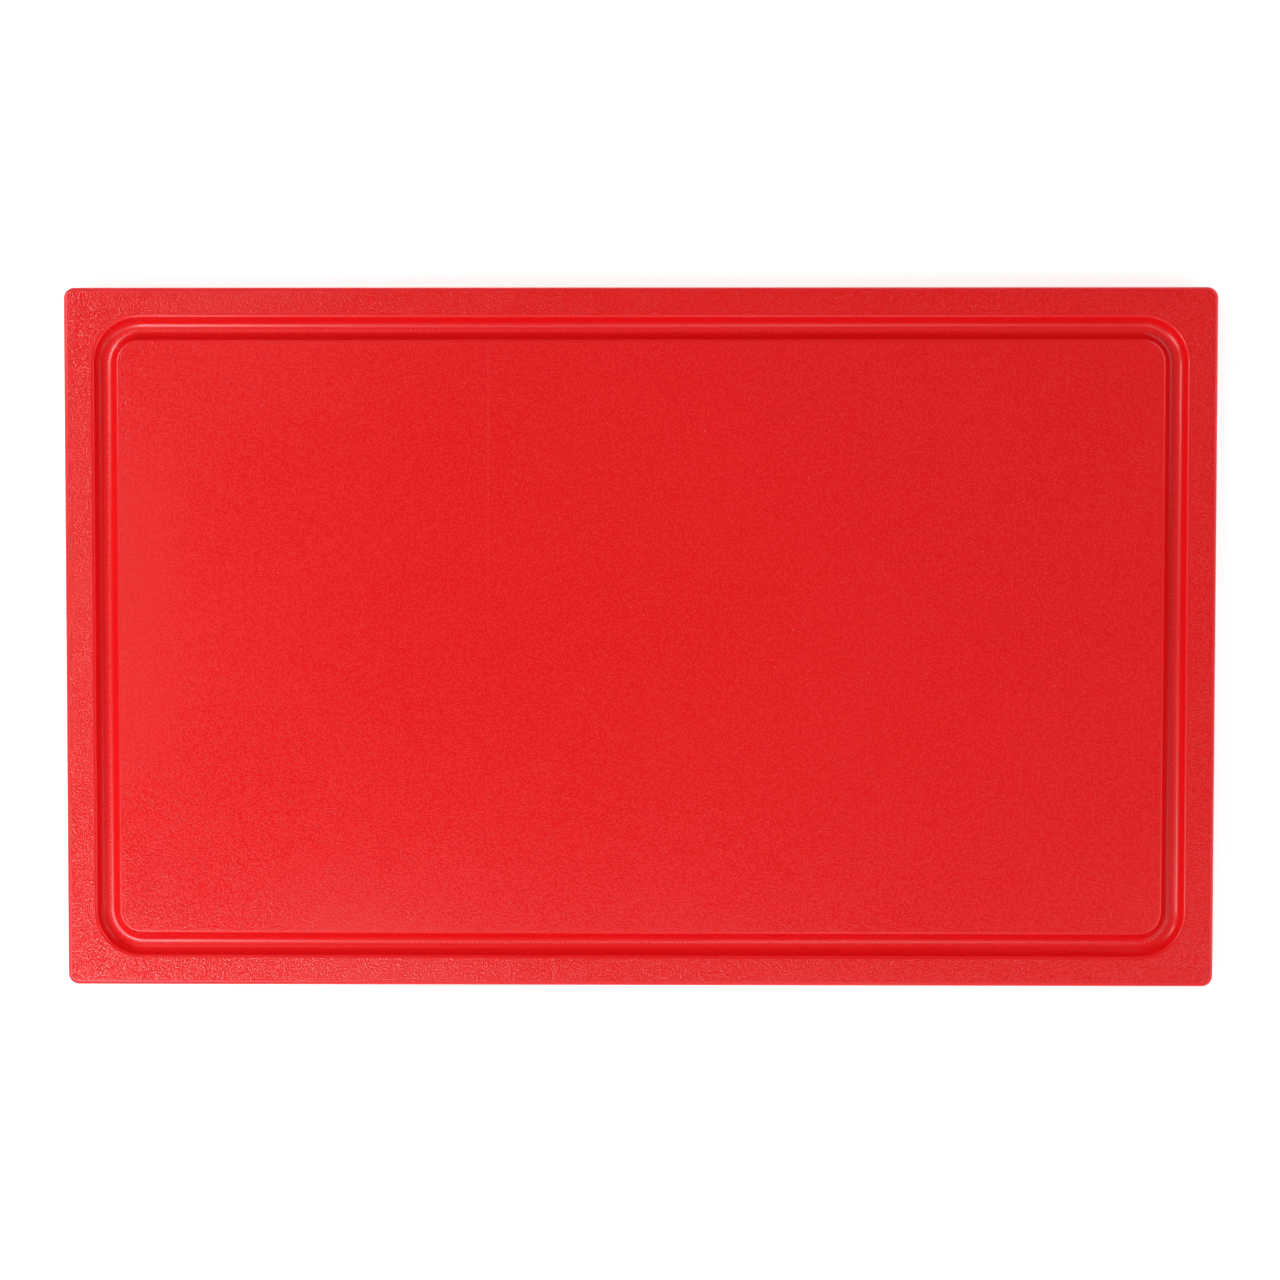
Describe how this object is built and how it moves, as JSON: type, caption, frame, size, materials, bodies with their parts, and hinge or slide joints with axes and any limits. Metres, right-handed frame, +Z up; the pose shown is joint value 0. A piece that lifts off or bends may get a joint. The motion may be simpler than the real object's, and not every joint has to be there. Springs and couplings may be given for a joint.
{
  "type": "cutting board",
  "caption": "Flat rectangular plastic cutting board with small rounded corners and a round-bottomed juice groove running all round its cutting face.",
  "frame": {"origin": "centre of the flat underside, which rests on the worktop", "axes": "+X along the board's length, +Y across it towards the far long edge, +Z up out of the cutting face"},
  "size_m": [0.53, 0.322, 0.015],
  "materials": {
    "board_plastic": "self-coloured red polyethylene, finely embossed on the faces and smooth where it is machined"
  },
  "bodies": {
    "root": {"board": "board_plastic"}
  },
  "joints": []
}
